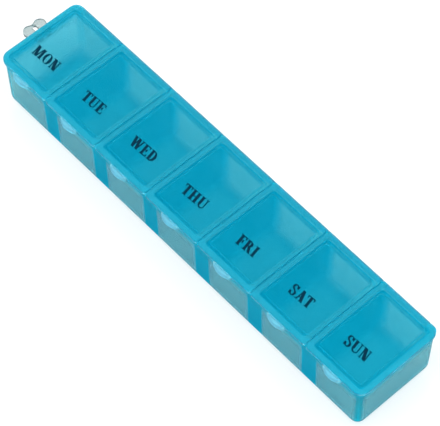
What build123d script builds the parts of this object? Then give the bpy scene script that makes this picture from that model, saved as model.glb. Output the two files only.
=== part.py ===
"""Weekly pill organizer: one moulded tray of seven compartments, seven flip lids that snap into hinge
posts along the tray's back, and a clear pull tab snapped through the Monday end wall.

Millimetres. +Z is up, +X runs from the Monday end to the Sunday end, and the lids hinge on the +Y side.
The origin is the centre of the flat base. The lids are closed.
"""

from build123d import *
import os

# ---------------------------------------------------------------- driving dimensions
days = ["mon", "tue", "wed", "thu", "fri", "sat", "sun"]
row_length = 150.0  # over the seven closed lids
box_depth = 30.5  # from the lids' front edge to the back of the hinge
box_height = 22.5  # base to the top of the lids
lid_thickness = 1.3
lid_gap = 0.4  # between neighbouring lids
monday_trim = 1.1  # by which the Monday lid stops short of the row's end
wall = 1.3
partition = 1.5
overhang = 0.8  # how far a lid stands out past the tray's wall
seat_gap = 0.1  # under a closed lid

# ---------------------------------------------------------------- tray
corner_radius = 3.0  # the organizer's four upright corners
wall_draft = 1.5  # degrees, for release from the mould
base_radius = 4.0  # rounded lower edge
collar_height = 1.1
collar_proud = 0.4  # how far the collar stands out of the wall
pocket_corner = 1.6
pocket_base_radius = 2.4
floor = 1.4

# ---------------------------------------------------------------- hinge
knuckle_radius = 1.25  # of the posts' rounded tops and of the lids' barrels
knuckle_gap = 0.2  # end play, and the gap between a post and the lid over it
trough_gap = 0.25  # around a lid's barrel
post_neck = 1.9  # front to back, under a post's rounded top
end_post_inset = 1.9  # from the tray's end to the end post
pin_radius = 0.75
pin_fit = 0.05  # running clearance of a pin in its post
pin_engagement = 0.6  # length of a pin inside its post
pin_lead = 0.2  # chamfer on a pin's tip
snap_mouth = 1.25  # slot that a pin is pressed through, narrower than the pin
stop_drop = 1.1  # from the hinge axis down to the ledge that stops an open lid

# ---------------------------------------------------------------- lids
lid_corner = 0.8
lid_edge_radius = 0.45
border = 1.5  # raised border round the recessed panel
panel_recess = 0.3
plug_gap = 0.15  # between the plug rib and the compartment
plug_wall = 0.9
plug_depth = 1.2
bead_radius = 0.35
bead_width = 5.0
bead_proud = 0.1  # of the plug rib, inside the plug gap
lip_width = 7.6
lip_reach = 1.5
lip_drop = 0.5  # from the lid's top to the lip's top
lip_thickness = 1.7
lip_root = 0.2  # how far the lip runs back under the lid's edge, short of the collar
lip_edge_radius = 0.5

# ---------------------------------------------------------------- pull tab
tab_thickness = 1.3
tab_reach = 3.6  # beyond the lid's end edge
tab_drop = 0.1  # under the collar
lobe_radius = 2.0
lobe_spread = 1.9  # from the tab's middle to each lobe's centre
tab_waist_half = 3.4
tab_dip_radius = 1.5
tab_edge_bevel = 0.2
tab_neck_half = 2.5
tab_fit = 0.05
prong_slit = 1.4
hook_proud = 0.5
hook_length = 1.1

# ---------------------------------------------------------------- worked out
pitch = row_length / len(days)
row_end = row_length / 2
boundaries = [-row_end + pitch * k for k in range(len(days) + 1)]
tray_length = row_length - 2 * overhang
tray_depth = box_depth - overhang - collar_proud
front_y = -tray_depth / 2 - overhang
lid_base = box_height - lid_thickness
rim_height = lid_base - seat_gap
pocket_end = tray_length / 2 - wall
pocket_depth = tray_depth - 2 * wall
hinge_y = tray_depth / 2 + collar_proud - knuckle_radius
hinge_z = lid_base - knuckle_gap - knuckle_radius
trough_radius = knuckle_radius + trough_gap
end_post_outer = tray_length / 2 - end_post_inset
end_post_inner = end_post_outer - partition
tab_top = rim_height - collar_height - tab_drop
tab_middle = tab_top - tab_thickness / 2

os.makedirs("parts", exist_ok=True)


def save(piece, name):
    """Labels a finished piece and writes it under its own name."""
    piece.label = name
    export_step(piece, f"parts/{name}.step")


def pocket_span(index):
    """The lowest and highest x of a compartment's mouth."""
    low = -pocket_end if index == 0 else boundaries[index] + partition / 2
    high = pocket_end if index == len(days) - 1 else boundaries[index + 1] - partition / 2
    return low, high


def post_span(boundary):
    """The lowest and highest x of the post at a lid boundary, as wide as the partition that it stands on; the
    end posts stand inside the end walls."""
    if boundary == 0:
        return -end_post_outer, -end_post_inner
    if boundary == len(days):
        return end_post_inner, end_post_outer
    return boundaries[boundary] - partition / 2, boundaries[boundary] + partition / 2


def lid_span(index):
    """The lowest and highest x of a lid's plate."""
    low = -row_end + monday_trim if index == 0 else boundaries[index] + lid_gap / 2
    high = row_end if index == len(days) - 1 else boundaries[index + 1] - lid_gap / 2
    return low, high


def at_row_end(edge):
    """Whether an upright edge stands at either end of the row of lids."""
    ends = (lid_span(0)[0], lid_span(len(days) - 1)[1])
    return any(abs(edge.center().X - end) < lid_gap / 4 for end in ends)


def barrel_span(index):
    """The lowest and highest x of a lid's barrel, between its two posts."""
    return post_span(index)[1] + knuckle_gap, post_span(index + 1)[0] - knuckle_gap


# ---------------------------------------------------------------- tray
def make_pocket(index):
    """The space of one compartment; in the end ones a back corner is notched for the column under the end post."""
    low, high = pocket_span(index)
    end_posts = [post_span(boundary) for boundary in (index, index + 1) if boundary in (0, len(days))]
    with BuildPart() as pocket:
        with BuildSketch(Plane.XY.offset(rim_height)):
            with Locations(((low + high) / 2, 0)):
                RectangleRounded(high - low, pocket_depth, pocket_corner)
        extrude(amount=floor - rim_height, taper=wall_draft)
        fillet(pocket.faces().sort_by(Axis.Z)[0].edges(), pocket_base_radius)
        for post_low, post_high in end_posts:
            with BuildSketch(Plane.XY.offset(rim_height)):
                with Locations((post_low, hinge_y - knuckle_radius)):
                    Rectangle(post_high - post_low, 2 * wall, align=(Align.MIN, Align.MIN))
            extrude(amount=-rim_height, mode=Mode.SUBTRACT)
    return pocket.part


def make_tray():
    pockets = [make_pocket(index) for index in range(len(days))]
    with BuildPart() as tray:
        # drafted outer shell, rounded below
        with BuildSketch(Plane.XY.offset(rim_height)):
            RectangleRounded(tray_length, tray_depth, corner_radius)
        extrude(amount=-rim_height, taper=wall_draft)
        fillet(tray.faces().sort_by(Axis.Z)[0].edges(), base_radius)

        # stiffening collar under the lids, and the lower band that stops an open lid
        with BuildSketch(Plane.XY.offset(rim_height)):
            RectangleRounded(
                tray_length + 2 * collar_proud,
                tray_depth + 2 * collar_proud,
                corner_radius + collar_proud,
            )
        extrude(amount=-collar_height)
        with BuildSketch(Plane.XY.offset(hinge_z - stop_drop)):
            with Locations((0, tray_depth / 2 + collar_proud)):
                Rectangle(2 * end_post_outer, wall, align=(Align.CENTER, Align.MAX))
        extrude(amount=-collar_height)

        # seven compartments
        add(pockets, mode=Mode.SUBTRACT)

        # the back corners are rounded over about the hinge line, so that a lid can swing back
        with BuildSketch(Plane.YZ.offset(-row_end)):
            with Locations((hinge_y, hinge_z)):
                Rectangle(box_height, box_height, align=(Align.MIN, Align.MIN))
                Circle(knuckle_radius, mode=Mode.SUBTRACT)
        extrude(amount=row_length, mode=Mode.SUBTRACT)

        # trough between the end posts, in which the barrels turn, open above and behind
        with BuildSketch(Plane.YZ.offset(-end_post_outer)):
            with Locations((hinge_y, hinge_z)):
                Circle(trough_radius)
            with Locations((hinge_y - trough_radius, hinge_z)):
                Rectangle(2 * trough_radius, box_height, align=(Align.MIN, Align.MIN))
            with Locations((hinge_y, hinge_z - stop_drop)):
                Rectangle(box_height, box_height, align=(Align.MIN, Align.MIN))
        extrude(amount=2 * end_post_outer, mode=Mode.SUBTRACT)

        # hinge posts, each on its column
        for boundary in range(len(days) + 1):
            low, high = post_span(boundary)
            with BuildSketch(Plane.YZ.offset(low)):
                with Locations((hinge_y, hinge_z)):
                    Circle(knuckle_radius)
                with Locations((hinge_y - knuckle_radius, hinge_z)):
                    Rectangle(post_neck, 2 * trough_radius, align=(Align.MIN, Align.MAX))
            extrude(amount=high - low)

        # bore through the posts, with a narrower mouth up and back for each pin to snap through
        bore_radius = pin_radius + pin_fit
        bore_end = end_post_inner + pin_engagement + pin_fit
        with BuildSketch(Plane.YZ.offset(-bore_end)):
            with Locations((hinge_y, hinge_z)):
                Circle(bore_radius)
            with Locations(Location((hinge_y, hinge_z), 45)):
                Rectangle(2 * knuckle_radius, snap_mouth, align=(Align.MIN, Align.CENTER))
        extrude(amount=2 * bore_end, mode=Mode.SUBTRACT)

        # slot for the pull tab in the Monday end wall
        with BuildSketch(Plane.YZ.offset(-row_end)):
            with Locations((0, tab_middle)):
                Rectangle(2 * (tab_neck_half + tab_fit), tab_thickness + 2 * tab_fit)
        extrude(amount=overhang + 2 * wall, mode=Mode.SUBTRACT)
    return tray.part


# ---------------------------------------------------------------- lids
def make_lip(index):
    """A crescent on a lid's front edge, for a fingertip."""
    low, high = lid_span(index)
    middle_x = (low + high) / 2
    lip_round = (lip_width**2 / 4 + lip_reach**2) / (2 * lip_reach)
    with BuildPart() as lip:
        with BuildSketch(Plane.XY.offset(box_height - lip_drop)):
            with Locations((middle_x, front_y - lip_reach + lip_round)):
                Circle(lip_round)
            with Locations((middle_x, front_y + lip_root)):
                Rectangle(
                    2 * lip_width,
                    lip_reach + lip_root,
                    align=(Align.CENTER, Align.MAX),
                    mode=Mode.INTERSECT,
                )
        extrude(amount=-lip_thickness)
        fillet(lip.edges().filter_by(GeomType.CIRCLE), lip_edge_radius)
    return lip.part


def make_pins(index):
    """The rod through a lid's barrel that ends in its two pins."""
    barrel_low, barrel_high = barrel_span(index)
    pin_length = knuckle_gap + pin_engagement
    with BuildPart() as pins:
        with BuildSketch(Plane.YZ.offset(barrel_low - pin_length)):
            with Locations((hinge_y, hinge_z)):
                Circle(pin_radius)
        extrude(amount=barrel_high - barrel_low + 2 * pin_length)
        chamfer(pins.edges().filter_by(GeomType.CIRCLE), pin_lead)
    return pins.part


def make_lid(index):
    low, high = lid_span(index)
    lip = make_lip(index)
    pins = make_pins(index)
    middle_x = (low + high) / 2
    middle_y = (front_y + hinge_y) / 2
    plate_depth = hinge_y - front_y

    with BuildPart() as lid:
        # plate; the organizer's own corners are rounder than those between lids
        with BuildSketch(Plane.XY.offset(lid_base)):
            with Locations((middle_x, middle_y)):
                Rectangle(high - low, plate_depth)
        extrude(amount=lid_thickness)
        uprights = lid.edges().filter_by(Axis.Z)
        fillet(uprights.filter_by(lambda edge: not at_row_end(edge)), lid_corner)
        outer_uprights = lid.edges().filter_by(Axis.Z).filter_by(at_row_end)
        if outer_uprights:
            fillet(outer_uprights, corner_radius)
        fillet(lid.faces().sort_by(Axis.Z)[-1].edges(), lid_edge_radius)

        # recessed panel inside a raised border
        with BuildSketch(Plane.XY.offset(box_height)):
            with Locations((middle_x, middle_y)):
                RectangleRounded(high - low - 2 * border, plate_depth - 2 * border, lid_corner)
        extrude(amount=-panel_recess, mode=Mode.SUBTRACT)

        # plug rib that drops into the compartment's mouth
        pocket_low, pocket_high = pocket_span(index)
        plug_low = pocket_low + plug_gap
        plug_high = pocket_high - plug_gap
        plug_front = -pocket_depth / 2 + plug_gap
        plug_back = hinge_y - trough_radius
        with BuildSketch(Plane.XY.offset(lid_base)):
            with Locations(((plug_low + plug_high) / 2, (plug_front + plug_back) / 2)):
                RectangleRounded(plug_high - plug_low, plug_back - plug_front, pocket_corner)
                RectangleRounded(
                    plug_high - plug_low - 2 * plug_wall,
                    plug_back - plug_front - 2 * plug_wall,
                    pocket_corner - plug_wall,
                    mode=Mode.SUBTRACT,
                )
        extrude(amount=-plug_depth)

        # catch bead on the front of the plug rib
        with BuildSketch(Plane.YZ.offset(middle_x - bead_width / 2)):
            with Locations((plug_front + bead_radius - bead_proud, lid_base - plug_depth / 2)):
                Circle(bead_radius)
        extrude(amount=bead_width)

        # barrel, the web that joins it to the plate, and a pin at each end
        barrel_low, barrel_high = barrel_span(index)
        with BuildSketch(Plane.YZ.offset(barrel_low)):
            with Locations((hinge_y, hinge_z)):
                Circle(knuckle_radius)
            with Locations((hinge_y - knuckle_radius, hinge_z)):
                Rectangle(
                    knuckle_radius,
                    lid_base - hinge_z + lid_thickness / 2,
                    align=(Align.MIN, Align.MIN),
                )
        extrude(amount=barrel_high - barrel_low)
        add([pins, lip])
    return lid.part


# ---------------------------------------------------------------- pull tab
def make_pull_tab():
    wall_x = -tray_length / 2
    lobe_x = -row_end - tab_reach + lobe_radius
    hook_x = wall_x + wall + 2 * tab_fit
    tip_x = hook_x + hook_length
    tip_half = tab_neck_half - hook_proud
    with BuildPart() as tab:
        with BuildSketch(Plane.XY.offset(tab_top)) as outline:
            # grip with two lobes and a dip between them
            with Locations((lobe_x, -lobe_spread), (lobe_x, lobe_spread)):
                Circle(lobe_radius)
            with Locations((wall_x, 0)):
                Rectangle(wall_x - lobe_x, 2 * tab_waist_half, align=(Align.MAX, Align.CENTER))
            fillet(outline.vertices().sort_by(Axis.X)[0], tab_dip_radius)
            # neck through the wall, split into two hooked prongs
            with BuildLine():
                Polyline(
                    (wall_x, tab_neck_half),
                    (hook_x, tab_neck_half),
                    (hook_x, tab_neck_half + hook_proud),
                    (tip_x, tip_half),
                    (tip_x, -tip_half),
                    (hook_x, -tab_neck_half - hook_proud),
                    (hook_x, -tab_neck_half),
                    (wall_x, -tab_neck_half),
                    close=True,
                )
            make_face()
            with Locations((wall_x, 0)):
                SlotOverall(2 * (tip_x - wall_x) + prong_slit, prong_slit, mode=Mode.SUBTRACT)
        extrude(amount=-tab_thickness)
        grip_arcs = tab.edges().filter_by(GeomType.CIRCLE).filter_by(
            lambda edge: edge.center().X < lobe_x
        )
        chamfer(grip_arcs, tab_edge_bevel)
    return tab.part


save(make_tray(), "tray")
for number, day in enumerate(days):
    save(make_lid(number), f"lid_{day}")
save(make_pull_tab(), "pull_tab")
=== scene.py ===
"""Dresses the weekly pill organizer: tinted mouldings, printed day names, and the studio it stands in.

Metres. +Z is up, +X runs from Monday to Sunday, and the lids hinge on the +Y side.
"""

import math

import bpy
from bpy.props import FloatProperty, FloatVectorProperty, PointerProperty, StringProperty
from mathutils import Matrix, Vector


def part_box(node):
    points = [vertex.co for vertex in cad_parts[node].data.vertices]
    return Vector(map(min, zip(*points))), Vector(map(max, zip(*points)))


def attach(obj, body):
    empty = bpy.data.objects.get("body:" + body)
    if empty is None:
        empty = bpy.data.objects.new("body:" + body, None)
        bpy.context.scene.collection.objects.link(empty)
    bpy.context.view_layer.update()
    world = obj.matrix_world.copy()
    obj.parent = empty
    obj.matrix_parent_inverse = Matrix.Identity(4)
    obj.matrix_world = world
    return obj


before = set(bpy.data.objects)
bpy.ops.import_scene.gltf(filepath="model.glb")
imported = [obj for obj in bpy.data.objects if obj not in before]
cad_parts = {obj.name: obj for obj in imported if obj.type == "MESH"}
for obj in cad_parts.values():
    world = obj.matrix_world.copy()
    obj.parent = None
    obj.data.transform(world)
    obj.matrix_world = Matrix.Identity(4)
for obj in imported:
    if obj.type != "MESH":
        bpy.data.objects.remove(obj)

bl_info = {
    "name": "Pill Organizer Dressing",
    "version": (1, 0, 0),
    "blender": (4, 5, 0),
    "location": "3D View > Sidebar > Pill Organizer",
    "description": "Finishes, day names and studio for the weekly pill organizer",
    "category": "Object",
}

MM = 0.001
DAYS = ("mon", "tue", "wed", "thu", "fri", "sat", "sun")
BORDER_TOP = 22.5 * MM  # height of the lids' raised borders
LIP_ROOT = -15.4 * MM  # where the finger lips leave the lids' front edges
PITCH = 150.0 / 7 * MM  # from one compartment to the next
ROW_END = 3.5 * PITCH  # from the middle of the row to either end
DRAFT = math.tan(math.radians(1.5))  # the tray's walls lean in by this much towards the base
FRONT_FACE = 13.8 * MM  # what lies further out than this is the front wall's face
END_FACE = 71.0 * MM  # what lies further out than this is an end wall
PAINTED_SIDE_SHIFT = 1.1 * MM  # the painted shade stripe, which stands in for a partition's side face seen through the front wall, lies this far beside the partition
PANEL_RECESS = 0.3 * MM  # the lid's panel lies this far below its border
INK_RISE = 0.03 * MM  # the printed ink stands this far off the panel
INK_DEPTH = 0.1 * MM  # and reaches this far into it, so that it also shows from below
PLASTIC_IOR = 1.49  # of polypropylene
MARK_HEIGHT = 0.05 * MM  # of the sink and flow marks on a moulded face
LAMP_SHARE = 0.89  # of lamp light that passes one face of a plastic wall
SENSOR = 36.0  # width of the camera's sensor in millimetres
FOCAL = 2287.0 / 440  # focal length in picture widths


# ---------------------------------------------------------------- settings
def tint_setting(name, description, default):
    """A colour, as sRGB hex."""
    return StringProperty(name=name, description=description, default=default)


def share_setting(name, description, default):
    """A share between none and all."""
    return FloatProperty(
        name=name, description=description, default=default, min=0.0, max=1.0, subtype="FACTOR"
    )


class PlasticSettings(bpy.types.PropertyGroup):
    """Colours and finish of the tinted plastic, the clear plastic and the ink"""

    tray: tint_setting("Tray tint", "Milky part of the tray's thin walls", "#3A848D")
    # painted reflection: the outer faces are painted paler and greyer for the grey room they mirror at a
    # glancing angle
    skin: tint_setting("Outer tint", "Milky part of the tray's outer faces", "#ACE2E5")
    # also the colour of the painted shade stripe beside each partition on the front wall
    thick: tint_setting("Thick tint", "Milky part of the partitions and the collar", "#00BAD8")
    corner: tint_setting("Corner tint", "Milky part of the tray's upright corners", "#10DCF4")
    # painted shade: darker than the walls, for the contact shadow under the tray
    base: tint_setting("Base tint", "Milky part of the tray's base", "#0096B0")
    lids: tint_setting("Lid tint", "Milky part of the lids' plastic", "#00BAD8")
    # painted light: the raised borders are painted lighter for the lit tray rim seen through them
    rim: tint_setting("Rim tint", "Milky part of the lids' raised borders", "#45CDE1")
    # painted highlight: the finger lips are painted pale for the light their curved tops catch
    lip: tint_setting("Lip tint", "Milky part of the finger lips", "#AAE8FF")
    mirror: tint_setting("Gloss tint", "Tint of what the tinted plastic mirrors", "#20EEFF")
    depth: tint_setting("Depth tint", "What light keeps on its way through", "#00EFF7")
    density: FloatProperty(name="Tint density", description="Absorption per metre", default=500.0, min=0.0)
    tray_milk: share_setting("Tray milkiness", "Share of light that thin walls scatter", 0.25)
    # the outer faces' painted reflection is also a little milkier
    skin_milk: share_setting("Outer milkiness", "Share of light that the outer faces scatter", 0.30)
    thick_milk: share_setting("Thick milkiness", "Share of light that the partitions scatter", 0.55)
    collar_milk: share_setting("Collar milkiness", "Share of light that the collar scatters", 0.70)
    # for the corners, and for the painted shade stripe beside each partition
    solid_milk: share_setting("Solid milkiness", "Share that corners and partition sides scatter", 0.85)
    base_shade_milk: share_setting("Base milkiness", "Share of light that the base scatters", 0.65)
    lid_milk: share_setting("Lid milkiness", "Share of light that the panels scatter", 0.29)
    rim_milk: share_setting("Rim milkiness", "Share of light that the borders scatter", 0.40)
    lip_milk: share_setting("Lip milkiness", "Share of light that the lips scatter", 0.45)
    gloss: share_setting("Roughness", "Roughness of the tinted plastic", 0.20)
    tab: tint_setting("Tab tint", "Colour of the clear pull tab", "#D3DAD9")
    tab_depth: tint_setting("Tab depth tint", "What light keeps on its way through the tab", "#A6C2C6")
    tab_density: FloatProperty(name="Tab density", description="Absorption per metre", default=400.0, min=0.0)
    ink: tint_setting("Ink", "Colour of the printed day names", "#00202F")
    thin_ink: tint_setting("Thin ink", "Colour of the ink where it lies thinner", "#00344C")


class LegendSettings(bpy.types.PropertyGroup):
    """Size and place of the day names"""

    height: FloatProperty(
        name="Cap height", description="Height of the capitals", default=3.45 * MM, unit="LENGTH"
    )
    width: FloatProperty(name="Width", description="Width of the letters beside their design", default=1.10)
    baseline: FloatProperty(
        name="Baseline", description="Y of the letters' feet", default=-7.3 * MM, unit="LENGTH"
    )
    shift: FloatProperty(
        name="Shift", description="Of each name along the row", default=-0.3 * MM, unit="LENGTH"
    )
    lean: FloatProperty(
        name="Lean",
        description="Of the letters' heads to the left",
        default=math.radians(9.0),
        unit="ROTATION",
    )
    turn: FloatProperty(
        name="Turn", description="Of each name on its lid", default=math.radians(2.5), unit="ROTATION"
    )


class StageSettings(bpy.types.PropertyGroup):
    """Camera, lamps, room and floor"""

    camera_place: FloatVectorProperty(
        name="Camera",
        description="Where the camera stands",
        default=(0.25611, -0.22681, 0.55392),
        unit="LENGTH",
    )
    camera_target: FloatVectorProperty(
        name="Target", description="What the camera looks at", default=(-0.00243, 0.00519, 0.0), unit="LENGTH"
    )
    camera_roll: FloatProperty(
        name="Roll", description="Turn about the view line", default=math.radians(-0.42), unit="ROTATION"
    )
    lens: FloatProperty(name="Lens", description="Focal length in millimetres", default=FOCAL * SENSOR)
    key_power: FloatProperty(name="Key lamp", description="Watts", default=4.6)
    fill_power: FloatProperty(name="Fill lamp", description="Watts", default=2.8)
    rim_power: FloatProperty(name="Rim lamp", description="Watts", default=3.0)
    sky: FloatProperty(name="Sky", description="Strength of the room's own light", default=0.5)
    horizon: FloatProperty(
        name="Horizon", description="Strength of the walls where gloss mirrors them", default=0.7
    )
    ceiling: FloatProperty(
        name="Ceiling", description="Strength of the ceiling where gloss mirrors it", default=0.08
    )
    floor: tint_setting("Floor", "Colour of the floor as it is lit", "#FAFAFA")
    table: tint_setting("Floor in gloss", "Colour of the floor where gloss mirrors it", "#B4BABC")
    floor_white: share_setting("Floor whiteness", "How far the floor goes to white for the eye", 0.6)


# ---------------------------------------------------------------- helpers
def linear(hex_colour):
    """The linear RGBA of an sRGB hex colour."""
    channels = [int(hex_colour[i : i + 2], 16) / 255 for i in (1, 3, 5)]
    return [c / 12.92 if c <= 0.04045 else ((c + 0.055) / 1.055) ** 2.4 for c in channels] + [1.0]


def add_node(tree, kind, values=None, links=None, **settings):
    """Adds a node with its settings, its input values and the sockets that feed its inputs."""
    node = tree.nodes.new(kind)
    for name, value in settings.items():
        setattr(node, name, value)
    for name, value in (values or {}).items():
        node.inputs[name].default_value = value
    for name, socket in (links or {}).items():
        tree.links.new(socket, node.inputs[name])
    return node


def empty_material(name):
    material = bpy.data.materials.new(name)
    material.use_nodes = True
    material.node_tree.nodes.clear()
    return material, material.node_tree


def deselect_all():
    if bpy.context.object and bpy.context.object.mode != "OBJECT":
        bpy.ops.object.mode_set(mode="OBJECT")
    bpy.ops.object.select_all(action="DESELECT")


def dress(nodes, material):
    """Gives CAD nodes their finish."""
    for node in nodes:
        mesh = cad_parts[node].data
        mesh.materials.clear()
        mesh.materials.append(material)


# ---------------------------------------------------------------- finishes
def lid_measures(tree, place):
    """Where a point lies across its lid and above the tray's foot, each as a socket."""
    axes = add_node(tree, "ShaderNodeSeparateXYZ", links={"Vector": place})
    return {"y": axes.outputs["Y"], "z": axes.outputs["Z"]}


def beside_partition(tree, along, shift=0.0):
    """How far a point lies from the nearest partition's middle, or from a plane beside it."""
    moved = add_node(tree, "ShaderNodeMath", {1: ROW_END - shift}, {0: along})
    folded = add_node(
        tree, "ShaderNodeMath", {1: PITCH / 2}, {0: moved.outputs["Value"]}, operation="PINGPONG"
    )
    return folded.outputs["Value"]


def tray_measures(tree, place):
    """Lengths that tell the tray's walls apart, each as a socket. Those along a wall follow its draft."""
    axes = add_node(tree, "ShaderNodeSeparateXYZ", links={"Vector": place})
    quarter = add_node(tree, "ShaderNodeVectorMath", links={0: place}, operation="ABSOLUTE")
    measures = {"z": axes.outputs["Z"], "from partition": beside_partition(tree, axes.outputs["X"])}
    for name, source, weights in (
        ("out of front", place, (0.0, -1.0, -DRAFT)),
        ("out of ends", quarter.outputs["Vector"], (1.0, 0.0, -DRAFT)),
        ("out of corners", quarter.outputs["Vector"], (1.0, 1.0, -2 * DRAFT)),
    ):
        reach = add_node(tree, "ShaderNodeVectorMath", {1: weights}, {0: source}, operation="DOT_PRODUCT")
        measures[name] = reach.outputs["Value"]
    # the painted shade stripe beside a partition's right face, but only on the front wall's face: all else
    # counts as a metre away
    other = add_node(
        tree, "ShaderNodeMath", {1: FRONT_FACE}, {0: measures["out of front"]}, operation="LESS_THAN"
    )
    end = add_node(
        tree, "ShaderNodeMath", {1: END_FACE}, {0: measures["out of ends"]}, operation="GREATER_THAN"
    )
    away = add_node(tree, "ShaderNodeMath", links={0: other.outputs["Value"], 1: end.outputs["Value"]})
    side = beside_partition(tree, axes.outputs["X"], PAINTED_SIDE_SHIFT)
    front = add_node(tree, "ShaderNodeMath", links={0: side, 1: away.outputs["Value"]})
    measures["from front partition"] = front.outputs["Value"]
    return measures


def tinted_plastic(name, settings, tint, milkiness, measures_of, zones):
    """Translucent tinted polypropylene, injection moulded: see-through in thin walls, deeper in colour
    where light runs along a wall, slightly milky, glossy, with the faint unevenness of a moulded face.
    Each zone is a measure, where along it the zone begins and is full, its tint and its milkiness; a later
    zone lies over an earlier one."""
    material, tree = empty_material(name)
    place = add_node(tree, "ShaderNodeTexCoord")
    colour = add_node(tree, "ShaderNodeRGB").outputs["Color"]
    colour.default_value = linear(tint)
    milk_share = add_node(tree, "ShaderNodeValue").outputs["Value"]
    milk_share.default_value = milkiness
    measures = measures_of(tree, place.outputs["Object"])
    for measure, begins, full, zone_tint, zone_milk in zones:
        inside = add_node(
            tree, "ShaderNodeMapRange", {"From Min": begins, "From Max": full}, {"Value": measures[measure]}
        ).outputs["Result"]
        mixed = add_node(
            tree, "ShaderNodeMix", {"B": linear(zone_tint)}, {"Factor": inside, "A": colour}, data_type="RGBA"
        )
        colour = mixed.outputs["Result"]
        mixed = add_node(
            tree, "ShaderNodeMix", {"B": zone_milk}, {"Factor": inside, "A": milk_share}, data_type="FLOAT"
        )
        milk_share = mixed.outputs["Result"]
    flow = add_node(  # sink and flow marks of the moulding, about 4 mm apart
        tree, "ShaderNodeTexNoise", {"Scale": 240.0, "Detail": 2.0}, {"Vector": place.outputs["Object"]}
    )
    skin = add_node(
        tree, "ShaderNodeBump", {"Strength": 0.10, "Distance": MARK_HEIGHT}, {"Height": flow.outputs["Fac"]}
    )
    sheen = add_node(  # the gloss varies a little with the marks
        tree,
        "ShaderNodeMapRange",
        {"To Min": settings.gloss * 0.7, "To Max": settings.gloss * 1.4},
        {"Value": flow.outputs["Fac"]},
    )
    clear = add_node(
        tree,
        "ShaderNodeBsdfPrincipled",
        {
            "Base Color": (1.0, 1.0, 1.0, 1.0),
            "Transmission Weight": 1.0,
            "IOR": PLASTIC_IOR,
            "Specular Tint": linear(settings.mirror),
        },
        {"Normal": skin.outputs["Normal"], "Roughness": sheen.outputs["Result"]},
    )
    lit = add_node(tree, "ShaderNodeBsdfDiffuse", links={"Color": colour, "Normal": skin.outputs["Normal"]})
    passed = add_node(tree, "ShaderNodeBsdfTranslucent", links={"Color": colour})
    milk = add_node(
        tree, "ShaderNodeMixShader", {"Fac": 0.5}, {1: lit.outputs["BSDF"], 2: passed.outputs["BSDF"]}
    )
    plastic = add_node(
        tree,
        "ShaderNodeMixShader",
        links={"Fac": milk_share, 1: clear.outputs["BSDF"], 2: milk.outputs["Shader"]},
    )
    depth = add_node(
        tree, "ShaderNodeVolumeAbsorption", {"Color": linear(settings.depth), "Density": settings.density}
    )
    add_node(
        tree,
        "ShaderNodeOutputMaterial",
        links={"Surface": lamps_through(tree, plastic.outputs["Shader"]), "Volume": depth.outputs["Volume"]},
    )
    return material


def lamps_through(tree, surface):
    """The same surface, but lamp light and light from matt faces pass it unbent, less what it mirrors."""
    path = add_node(tree, "ShaderNodeLightPath")
    unseen = add_node(
        tree,
        "ShaderNodeMath",
        links={0: path.outputs["Is Shadow Ray"], 1: path.outputs["Is Diffuse Ray"]},
        operation="MAXIMUM",
    )
    open_way = add_node(
        tree, "ShaderNodeBsdfTransparent", {"Color": (LAMP_SHARE, LAMP_SHARE, LAMP_SHARE, 1.0)}
    )
    both = add_node(
        tree,
        "ShaderNodeMixShader",
        links={"Fac": unseen.outputs["Value"], 1: surface, 2: open_way.outputs["BSDF"]},
    )
    return both.outputs["Shader"]


def clear_plastic(settings):
    """Clear polypropylene, moulded: bright body, its edges grey where they bend the light away."""
    material, tree = empty_material("clear_polypropylene")
    place = add_node(tree, "ShaderNodeTexCoord")
    flow = add_node(  # flow marks about 2.5 mm apart
        tree, "ShaderNodeTexNoise", {"Scale": 400.0}, {"Vector": place.outputs["Object"]}
    )
    skin = add_node(
        tree, "ShaderNodeBump", {"Strength": 0.1, "Distance": MARK_HEIGHT}, {"Height": flow.outputs["Fac"]}
    )
    plastic = add_node(
        tree,
        "ShaderNodeBsdfPrincipled",
        {
            "Base Color": linear(settings.tab),
            "Transmission Weight": 0.9,
            "Roughness": 0.1,
            "IOR": PLASTIC_IOR,
        },
        {"Normal": skin.outputs["Normal"]},
    )
    depth = add_node(
        tree,
        "ShaderNodeVolumeAbsorption",
        {"Color": linear(settings.tab_depth), "Density": settings.tab_density},
    )
    add_node(
        tree,
        "ShaderNodeOutputMaterial",
        links={"Surface": lamps_through(tree, plastic.outputs["BSDF"]), "Volume": depth.outputs["Volume"]},
    )
    return material


def printed_ink(settings):
    """Pad-printed ink: matt, nearly black blue, a little thinner in places."""
    material, tree = empty_material("pad_printed_ink")
    place = add_node(tree, "ShaderNodeTexCoord")
    grain = add_node(  # ink that wets the plastic unevenly, grains of about 0.3 mm
        tree, "ShaderNodeTexNoise", {"Scale": 3000.0, "Detail": 2.0}, {"Vector": place.outputs["Object"]}
    )
    shade = add_node(
        tree,
        "ShaderNodeMix",
        {"A": linear(settings.ink), "B": linear(settings.thin_ink)},
        {"Factor": grain.outputs["Fac"]},
        data_type="RGBA",
    )
    ink = add_node(
        tree,
        "ShaderNodeBsdfPrincipled",
        {"Roughness": 0.7, "Specular IOR Level": 0.05},
        {"Base Color": shade.outputs["Result"]},
    )
    add_node(tree, "ShaderNodeOutputMaterial", links={"Surface": ink.outputs["BSDF"]})
    return material


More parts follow.
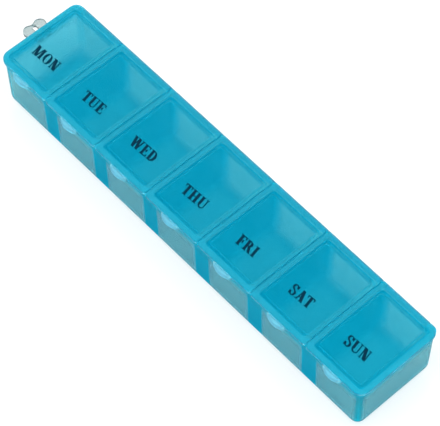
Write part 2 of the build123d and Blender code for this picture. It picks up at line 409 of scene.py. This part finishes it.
class PILLBOX_OT_tint_tray(bpy.types.Operator):
    """Gives the tray its tinted plastic"""

    bl_idname = "pillbox.tint_tray"
    bl_label = "Tint tray"

    def execute(self, context):
        settings = context.scene.pillbox_plastic
        thin, thick = (settings.tray, settings.tray_milk), (settings.thick, settings.thick_milk)
        skin = (settings.skin, settings.skin_milk)
        solid = settings.solid_milk
        zones = [  # where the moulding is thick, or two walls meet, it is milkier and deeper in colour; the outer faces carry a painted reflection, the front wall a painted shade stripe beside each partition, and the base a painted shade
            ("from partition", 3.6 * MM, 2.8 * MM, *thick),  # the partitions and the fillets at their ends
            ("out of ends", 71.2 * MM, 71.7 * MM, *thin),  # the end walls
            ("out of ends", 73.3 * MM, 73.6 * MM, *skin),  # the outer faces, painted paler and greyer as a painted reflection of the grey room they mirror at a glancing angle
            ("out of front", 13.7 * MM, 14.0 * MM, *skin),
            # painted shade: a deeper, milkier stripe on the front wall just right of each partition, for the
            # partition's side face seen through the wall
            ("from front partition", 3.4 * MM, 2.6 * MM, settings.thick, solid),
            ("out of corners", 85.6 * MM, 86.3 * MM, settings.corner, solid),  # the four upright corners
            ("z", 15.5 * MM, 19.0 * MM, settings.thick, settings.collar_milk),  # what the lids close on
            # painted shade: the base is painted darker and milkier for the contact shadow under the tray
            ("z", 2.4 * MM, 1.8 * MM, settings.base, settings.base_shade_milk),
        ]
        plastic = tinted_plastic("tinted_polypropylene_tray", settings, *thin, tray_measures, zones)
        dress(["tray"], plastic)
        return {"FINISHED"}


class PILLBOX_OT_tint_lids(bpy.types.Operator):
    """Gives the seven lids their tinted plastic"""

    bl_idname = "pillbox.tint_lids"
    bl_label = "Tint lids"

    def execute(self, context):
        lids = [f"lid_{day}" for day in DAYS]
        settings = context.scene.pillbox_plastic
        # where the lip's painted highlight is full
        lip_highlight_full = LIP_ROOT - 0.6 * MM
        zones = [  # the raised border above the panel, with its painted light, and the thin lip, painted lighter and milkier as a painted highlight for the light its curved top catches
            # painted light: the borders are painted lighter and milkier for the lit tray rim seen through
            # them
            (
                "z",
                BORDER_TOP - PANEL_RECESS * 0.7,
                BORDER_TOP - PANEL_RECESS * 0.3,
                settings.rim,
                settings.rim_milk,
            ),
            # painted highlight: the finger lip is painted lighter and milkier for the light its curved top
            # catches
            ("y", LIP_ROOT, lip_highlight_full, settings.lip, settings.lip_milk),
        ]
        clear = (settings.lids, settings.lid_milk)
        plastic = tinted_plastic("tinted_polypropylene_lids", settings, *clear, lid_measures, zones)
        dress(lids, plastic)
        return {"FINISHED"}


class PILLBOX_OT_clear_tab(bpy.types.Operator):
    """Gives the pull tab its clear plastic"""

    bl_idname = "pillbox.clear_tab"
    bl_label = "Clear pull tab"

    def execute(self, context):
        dress(["pull_tab"], clear_plastic(context.scene.pillbox_plastic))
        return {"FINISHED"}


# ---------------------------------------------------------------- day names
# A condensed roman capital, in units of its own height: thick stems, thin cross strokes and flat serifs.
STEM = 0.21
HAIR = 0.08
SERIF = 0.065
SERIF_OUT = 0.075  # how far a serif stands out each side of its stem
LETTER_SPACE = 0.07
ROUND = 40  # sides of a round stroke


def stroke(corners):
    """A printed stroke: a plane pushed to four corners, then raised to the ink's thickness."""
    deselect_all()
    bpy.ops.mesh.primitive_plane_add(size=1.0)
    piece = bpy.context.object
    order = [(-0.5, -0.5), (0.5, -0.5), (0.5, 0.5), (-0.5, 0.5)]
    for vertex in piece.data.vertices:
        corner = order.index((round(vertex.co.x, 1), round(vertex.co.y, 1)))
        vertex.co.x, vertex.co.y = corners[corner]
    bpy.ops.object.mode_set(mode="EDIT")
    bpy.ops.mesh.select_all(action="SELECT")
    bpy.ops.mesh.extrude_region_move(TRANSFORM_OT_translate={"value": (0, 0, 1)})
    bpy.ops.mesh.select_all(action="SELECT")
    bpy.ops.mesh.normals_make_consistent(inside=False)
    bpy.ops.object.mode_set(mode="OBJECT")
    return piece


def bar(x0, x1, y0, y1):
    return stroke([(x0, y0), (x1, y0), (x1, y1), (x0, y1)])


def slant(foot, head, width, y0=0.0, y1=1.0):
    """A stroke between two heights whose left edge runs from foot to head."""
    return stroke([(foot, y0), (foot + width, y0), (head + width, y1), (head, y1)])


def bow(centre, outer, inner, shift=0.0, half=None):
    """A round stroke: an oval ring, thick at its sides, cut to its right or lower half where half says so."""
    deselect_all()
    bpy.ops.mesh.primitive_cylinder_add(vertices=ROUND, radius=1.0, depth=1.0, location=(0, 0, 0.5))
    ring = bpy.context.object
    bpy.ops.object.transform_apply(location=True)
    for vertex in ring.data.vertices:
        vertex.co.x = centre[0] + vertex.co.x * outer[0]
        vertex.co.y = centre[1] + vertex.co.y * outer[1]
    deselect_all()
    bpy.ops.mesh.primitive_cylinder_add(vertices=ROUND, radius=1.0, depth=2.0, location=(0, 0, 0.5))
    hole = bpy.context.object
    bpy.ops.object.transform_apply(location=True)
    for vertex in hole.data.vertices:
        vertex.co.x = centre[0] + shift + vertex.co.x * inner[0]
        vertex.co.y = centre[1] + vertex.co.y * inner[1]
    combine(ring, hole, "DIFFERENCE")
    if half:
        normal, away = {"right": ((1, 0, 0), False), "low": ((0, 1, 0), True)}[half]
        deselect_all()
        ring.select_set(True)
        bpy.context.view_layer.objects.active = ring
        bpy.ops.object.mode_set(mode="EDIT")
        bpy.ops.mesh.select_all(action="SELECT")
        bpy.ops.mesh.bisect(
            plane_co=(centre[0], centre[1], 0),
            plane_no=normal,
            use_fill=True,
            clear_inner=not away,
            clear_outer=away,
        )
        bpy.ops.object.mode_set(mode="OBJECT")
    return ring


def combine(target, tool, operation):
    """Applies a boolean to target and removes the tool."""
    deselect_all()
    target.select_set(True)
    bpy.context.view_layer.objects.active = target
    bpy.ops.object.modifier_add(type="BOOLEAN")
    modifier = target.modifiers[-1]
    modifier.object, modifier.operation, modifier.solver = tool, operation, "EXACT"
    bpy.ops.object.modifier_apply(modifier=modifier.name)
    mesh = tool.data
    bpy.data.objects.remove(tool)
    bpy.data.meshes.remove(mesh)


def stem(x, heads=True):
    """An upright stroke with its serifs."""
    pieces = [bar(x, x + STEM, 0, 1), bar(x - SERIF_OUT, x + STEM + SERIF_OUT, 0, SERIF)]
    if heads:
        pieces.append(bar(x - SERIF_OUT, x + STEM + SERIF_OUT, 1 - SERIF, 1))
    return pieces


def letter_i():
    return stem(SERIF_OUT), STEM + 2 * SERIF_OUT


def letter_h():
    right = 0.50
    pieces = stem(SERIF_OUT) + stem(right) + [bar(SERIF_OUT, right + STEM, 0.47, 0.47 + HAIR)]
    return pieces, right + STEM + SERIF_OUT


def letter_t():
    width = 0.64
    left = (width - STEM) / 2
    pieces = stem(left, heads=False) + [bar(0, width, 1 - HAIR, 1)]
    pieces += [slant(0, 0, HAIR, 0.76, 1), slant(width - HAIR, width - HAIR, HAIR, 0.76, 1)]
    return pieces, width


def arms(widths):
    """The cross strokes of E and F, each with its upright tip."""
    pieces = []
    for y, reach, down, up in widths:
        pieces += [bar(SERIF_OUT, reach, y, y + HAIR), bar(reach - HAIR, reach, down, up)]
    return pieces


def letter_e():
    across = [(0, 0.62, 0, 0.24), (0.49, 0.46, 0.38, 0.66), (1 - HAIR, 0.59, 0.78, 1)]
    return stem(SERIF_OUT) + arms(across), 0.62


def letter_f():
    return stem(SERIF_OUT) + arms([(0.47, 0.46, 0.36, 0.64), (1 - HAIR, 0.58, 0.76, 1)]), 0.58


def letter_o():
    return [bow((0.36, 0.5), (0.36, 0.52), (0.36 - STEM, 0.47))], 0.72


def letter_d():
    bowl = bow((0.28, 0.5), (0.40, 0.5), (0.40 - STEM, 0.5 - HAIR), half="right")
    return stem(SERIF_OUT) + [bowl, bar(SERIF_OUT, 0.29, 0, HAIR), bar(SERIF_OUT, 0.29, 1 - HAIR, 1)], 0.68


def letter_u():
    right = 0.56
    middle, reach = (SERIF_OUT + right + HAIR) / 2, (right + HAIR - SERIF_OUT) / 2
    bowl = bow((middle, 0.3), (reach, 0.32), (0.17, 0.22), 0.045, "low")
    pieces = [bar(SERIF_OUT, SERIF_OUT + STEM, 0.29, 1), bar(right, right + HAIR, 0.29, 1)]
    pieces += [bar(0, 2 * SERIF_OUT + STEM, 1 - SERIF, 1)]
    pieces += [bar(right - 0.09, right + HAIR + 0.09, 1 - SERIF, 1)]
    return pieces + [bowl], right + HAIR + 0.09


def letter_n():
    right = 0.56
    pieces = [bar(0.1, 0.1 + HAIR, 0, 1), bar(right, right + HAIR, 0, 1)]
    pieces += [slant(right + HAIR - STEM * 1.3, 0.06, STEM * 1.3)]
    pieces += [bar(0.02, 0.24, 0, SERIF), bar(0, 0.24, 1 - SERIF, 1)]
    pieces += [bar(right - 0.1, right + 0.16, 1 - SERIF, 1)]
    return pieces, right + 0.16


def letter_m():
    right = 0.68
    middle = 0.43
    pieces = [bar(0.1, 0.1 + HAIR, 0, 1), bar(right, right + STEM, 0, 1)]
    pieces += [slant(middle - STEM * 0.7, 0.08, STEM * 1.2)]
    pieces += [slant(middle - HAIR * 0.3, right - 0.03, HAIR * 1.2)]
    pieces += [bar(0.02, 0.24, 0, SERIF), bar(0, 0.22, 1 - SERIF, 1)]
    pieces += [bar(right - SERIF_OUT, right + STEM + SERIF_OUT, 0, SERIF)]
    pieces += [bar(right - 0.02, right + STEM + SERIF_OUT, 1 - SERIF, 1)]
    return pieces, right + STEM + SERIF_OUT


def letter_w():
    pieces = [slant(0.24, 0.06, STEM * 1.1), slant(0.30, 0.46, HAIR * 1.2), slant(0.60, 0.42, STEM * 1.1)]
    pieces += [slant(0.68, 0.88, HAIR * 1.2)]
    pieces += [bar(0, 0.30, 1 - SERIF, 1), bar(0.36, 0.66, 1 - SERIF, 1), bar(0.80, 1.04, 1 - SERIF, 1)]
    return pieces, 1.04


def letter_a():
    pieces = [slant(0.10, 0.32, HAIR * 1.2), slant(0.46, 0.24, STEM * 1.15)]
    pieces += [bar(0.18, 0.50, 0.30, 0.30 + HAIR)]
    pieces += [bar(0, 0.24, 0, SERIF), bar(0.38, 0.72, 0, SERIF)]
    return pieces, 0.72


def letter_r():
    bowl = bow((0.28, 0.74), (0.32, 0.26), (0.32 - STEM, 0.26 - HAIR), half="right")
    pieces = stem(SERIF_OUT) + [bowl, bar(SERIF_OUT, 0.29, 0.48, 0.48 + HAIR)]
    pieces += [bar(SERIF_OUT, 0.29, 1 - HAIR, 1)]
    pieces += [slant(0.50, 0.28, STEM * 1.15, 0, 0.52), bar(0.50, 0.74, 0, SERIF)]
    return pieces, 0.74


def letter_s():
    upper = bow((0.27, 0.755), (0.25, 0.265), (0.25 - STEM * 0.72, 0.265 - HAIR))
    lower = bow((0.27, 0.265), (0.27, 0.285), (0.27 - STEM * 0.80, 0.285 - HAIR))
    cut(upper, [(0.27, 0.40), (0.9, 0.40), (0.9, 0.74), (0.27, 0.74)])
    cut(lower, [(-0.3, 0.30), (0.27, 0.30), (0.27, 0.60), (-0.3, 0.60)])
    spine = slant(0.36, 0.05, STEM * 0.9, 0.38, 0.64)
    return [upper, lower, spine, bar(0.46, 0.46 + HAIR, 0.70, 1.0), bar(0.0, HAIR, 0.0, 0.30)], 0.54


def cut(piece, corners):
    """Takes a block over four corners out of a stroke."""
    block = stroke(corners)
    for vertex in block.data.vertices:
        vertex.co.z = vertex.co.z * 3 - 1
    combine(piece, block, "DIFFERENCE")


LETTERS = {
    "A": letter_a,
    "D": letter_d,
    "E": letter_e,
    "F": letter_f,
    "H": letter_h,
    "I": letter_i,
    "M": letter_m,
    "N": letter_n,
    "O": letter_o,
    "R": letter_r,
    "S": letter_s,
    "T": letter_t,
    "U": letter_u,
    "W": letter_w,
}


def make_letter(character):
    """One capital as a single closed solid, one unit high, and its width."""
    pieces, width = LETTERS[character]()
    whole = pieces[0]
    for piece in pieces[1:]:
        combine(whole, piece, "UNION")
    whole.name = f"letter_{character}"
    return whole, width


class PILLBOX_OT_print_days(bpy.types.Operator):
    """Prints each day's name on its lid"""

    bl_idname = "pillbox.print_days"
    bl_label = "Print day names"

    def execute(self, context):
        settings = context.scene.pillbox_legend
        ink = printed_ink(context.scene.pillbox_plastic)
        patterns = {c: make_letter(c) for c in sorted(set("".join(DAYS).upper()))}
        for day in DAYS:
            self.print_name(day, patterns, settings, ink)
        for pattern, _ in patterns.values():
            mesh = pattern.data
            bpy.data.objects.remove(pattern)
            bpy.data.meshes.remove(mesh)
        return {"FINISHED"}

    def print_name(self, day, patterns, settings, ink):
        low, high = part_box(f"lid_{day}")
        widths = [patterns[c][1] for c in day.upper()]
        total = sum(widths) + LETTER_SPACE * (len(day) - 1)
        across = settings.height * settings.width
        start = -total * across / 2
        middle = (low.x + high.x) / 2 + settings.shift
        place = Matrix.Translation((middle, settings.baseline, high.z - PANEL_RECESS - INK_DEPTH))
        place = place @ Matrix.Rotation(settings.turn, 4, "Z")
        slanted = Matrix.Identity(4)
        slanted[0][1] = -math.tan(settings.lean)
        copies = []
        for character, width in zip(day.upper(), widths):
            copy = patterns[character][0].copy()
            copy.data = copy.data.copy()
            bpy.context.collection.objects.link(copy)
            size = Matrix.Diagonal((across, settings.height, INK_RISE + INK_DEPTH, 1.0))
            slot = Matrix.Translation((start, 0.0, 0.0)) @ size
            copy.data.transform(place @ slanted @ slot)
            copies.append(copy)
            start += (width + LETTER_SPACE) * across
        deselect_all()
        for copy in copies:
            copy.select_set(True)
        bpy.context.view_layer.objects.active = copies[0]
        bpy.ops.object.join()
        legend = bpy.context.object
        legend.name = f"legend_{day}"
        legend.data.name = legend.name
        legend.data.materials.clear()
        legend.data.materials.append(ink)
        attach(legend, f"lid_{day}_body")


# ---------------------------------------------------------------- stage
def studio_floor(settings):
    """A pale matt floor that stays white to the eye, keeps a soft shadow of the organizer, and shows as a
    grey table top in its gloss."""
    material, tree = empty_material("studio_floor")
    path = add_node(tree, "ShaderNodeLightPath")
    share = add_node(
        tree,
        "ShaderNodeMath",
        {1: settings.floor_white},
        {0: path.outputs["Is Camera Ray"]},
        operation="MULTIPLY",
    )
    bent = add_node(
        tree, "ShaderNodeMath", {0: 1.0}, {1: path.outputs["Is Transmission Ray"]}, operation="SUBTRACT"
    )
    mirrored = add_node(
        tree,
        "ShaderNodeMath",
        links={0: path.outputs["Is Glossy Ray"], 1: bent.outputs["Value"]},
        operation="MULTIPLY",
    )
    shade = add_node(
        tree,
        "ShaderNodeMix",
        {"A": linear(settings.floor), "B": linear(settings.table)},
        {"Factor": mirrored.outputs["Value"]},
        data_type="RGBA",
    )
    paper = add_node(tree, "ShaderNodeBsdfDiffuse", {"Roughness": 0.5}, {"Color": shade.outputs["Result"]})
    white = add_node(tree, "ShaderNodeEmission", {"Color": linear("#FFFFFF"), "Strength": 1.0})
    both = add_node(
        tree,
        "ShaderNodeMixShader",
        links={"Fac": share.outputs["Value"], 1: paper.outputs["BSDF"], 2: white.outputs["Emission"]},
    )
    add_node(tree, "ShaderNodeOutputMaterial", links={"Surface": both.outputs["Shader"]})
    return material


# each soft box: its name, its place, its width and the setting that holds its power
LAMPS = (
    ("key_lamp", (-0.02, -0.30, 0.85), 0.5, "key_power"),
    ("fill_lamp", (0.35, 0.18, 0.80), 0.5, "fill_power"),
    ("rim_lamp", (-0.60, 0.55, 0.38), 0.35, "rim_power"),
)
LAMP_TARGET = (0, 0, 0.01)
FLOOR_SIZE = 6.0
LIGHT_BOUNCES = 24  # light crosses many thin walls
SHADOW_BOUNCES = 32


def add_lamp(name, place, size, power):
    """A square soft box that faces the organizer."""
    bpy.ops.object.light_add(type="AREA", location=place)
    lamp = bpy.context.object
    lamp.name = name
    lamp.data.shape, lamp.data.size, lamp.data.energy = "SQUARE", size, power
    lamp.rotation_euler = (Vector(LAMP_TARGET) - Vector(place)).to_track_quat("-Z", "Y").to_euler()


def room_light(tree, settings):
    """The room's strength: plain white to the eye; in gloss and through plastic brighter at the horizon than
    at the ceiling; even as light."""
    path = add_node(tree, "ShaderNodeLightPath")
    bent = add_node(
        tree,
        "ShaderNodeMath",
        links={0: path.outputs["Is Glossy Ray"], 1: path.outputs["Is Transmission Ray"]},
        operation="MAXIMUM",
    )
    place = add_node(tree, "ShaderNodeTexCoord")
    split = add_node(tree, "ShaderNodeSeparateXYZ", links={"Vector": place.outputs["Generated"]})
    ceiling = add_node(
        tree,
        "ShaderNodeMapRange",
        {"From Min": 0.25, "From Max": 0.75, "To Min": settings.horizon, "To Max": settings.ceiling},
        {"Value": split.outputs["Z"]},
        interpolation_type="SMOOTHSTEP",
    )
    plain = add_node(
        tree,
        "ShaderNodeMix",
        {"A": settings.sky},
        {"Factor": bent.outputs["Value"], "B": ceiling.outputs["Result"]},
        data_type="FLOAT",
    )
    strength = add_node(
        tree,
        "ShaderNodeMix",
        {"B": 1.0},
        {"Factor": path.outputs["Is Camera Ray"], "A": plain.outputs["Result"]},
        data_type="FLOAT",
    )
    return strength.outputs["Result"]


class PILLBOX_OT_stage(bpy.types.Operator):
    """Sets the floor, the lamps, the room and the camera"""

    bl_idname = "pillbox.stage"
    bl_label = "Set stage"

    def execute(self, context):
        settings = context.scene.pillbox_stage
        deselect_all()
        bpy.ops.mesh.primitive_grid_add(
            x_subdivisions=2, y_subdivisions=2, size=FLOOR_SIZE, location=(0, 0, 0)
        )
        floor = bpy.context.object
        floor.name = "studio_floor"
        floor.data.materials.append(studio_floor(settings))

        deselect_all()
        for name, place, size, power in LAMPS:
            add_lamp(name, place, size, getattr(settings, power))

        world = bpy.data.worlds.new("studio_room")
        context.scene.world = world
        world.use_nodes = True
        tree = world.node_tree
        tree.nodes.clear()
        strength = room_light(tree, settings)
        room = add_node(tree, "ShaderNodeBackground", {"Color": linear("#FFFFFF")}, {"Strength": strength})
        add_node(tree, "ShaderNodeOutputWorld", links={"Surface": room.outputs["Background"]})

        deselect_all()
        bpy.ops.object.camera_add(location=settings.camera_place)
        camera = bpy.context.object
        camera.name = "photo_camera"
        back = (Vector(settings.camera_place) - Vector(settings.camera_target)).normalized()
        right = Vector((0, 0, 1)).cross(back).normalized()
        up = back.cross(right)
        turn, lean = math.cos(settings.camera_roll), math.sin(settings.camera_roll)
        axes = Matrix((right * turn + up * lean, up * turn - right * lean, back)).transposed()
        camera.rotation_euler = axes.to_euler()
        camera.data.sensor_width = SENSOR
        camera.data.lens = settings.lens
        context.scene.camera = camera

        context.scene.view_settings.view_transform = "Standard"
        context.scene.cycles.max_bounces = LIGHT_BOUNCES
        context.scene.cycles.transmission_bounces = LIGHT_BOUNCES
        context.scene.cycles.transparent_max_bounces = SHADOW_BOUNCES
        return {"FINISHED"}


class PILLBOX_PT_panel(bpy.types.Panel):
    """Shows the organizer's finish, day name and stage settings, and the buttons that apply them"""

    bl_label = "Pill Organizer"
    bl_idname = "PILLBOX_PT_panel"
    bl_space_type = "VIEW_3D"
    bl_region_type = "UI"
    bl_category = "Pill Organizer"

    def draw(self, context):
        for settings in (
            context.scene.pillbox_plastic,
            context.scene.pillbox_legend,
            context.scene.pillbox_stage,
        ):
            box = self.layout.box()
            for name in settings.__annotations__:
                box.prop(settings, name)
        for operator in OPERATORS:
            self.layout.operator(operator.bl_idname)


OPERATORS = (
    PILLBOX_OT_tint_tray,
    PILLBOX_OT_tint_lids,
    PILLBOX_OT_clear_tab,
    PILLBOX_OT_print_days,
    PILLBOX_OT_stage,
)
SETTINGS = {
    "pillbox_plastic": PlasticSettings,
    "pillbox_legend": LegendSettings,
    "pillbox_stage": StageSettings,
}


def register():
    for group in SETTINGS.values():
        bpy.utils.register_class(group)
    for name, group in SETTINGS.items():
        setattr(bpy.types.Scene, name, PointerProperty(type=group))
    for operator in OPERATORS:
        bpy.utils.register_class(operator)
    bpy.utils.register_class(PILLBOX_PT_panel)


def unregister():
    bpy.utils.unregister_class(PILLBOX_PT_panel)
    for operator in reversed(OPERATORS):
        bpy.utils.unregister_class(operator)
    for name, group in SETTINGS.items():
        delattr(bpy.types.Scene, name)
        bpy.utils.unregister_class(group)


def main():
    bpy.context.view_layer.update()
    register()
    bpy.ops.pillbox.tint_tray()
    bpy.ops.pillbox.tint_lids()
    bpy.ops.pillbox.clear_tab()
    bpy.ops.pillbox.print_days()
    bpy.ops.pillbox.stage()


if __name__ == "__main__":
    main()
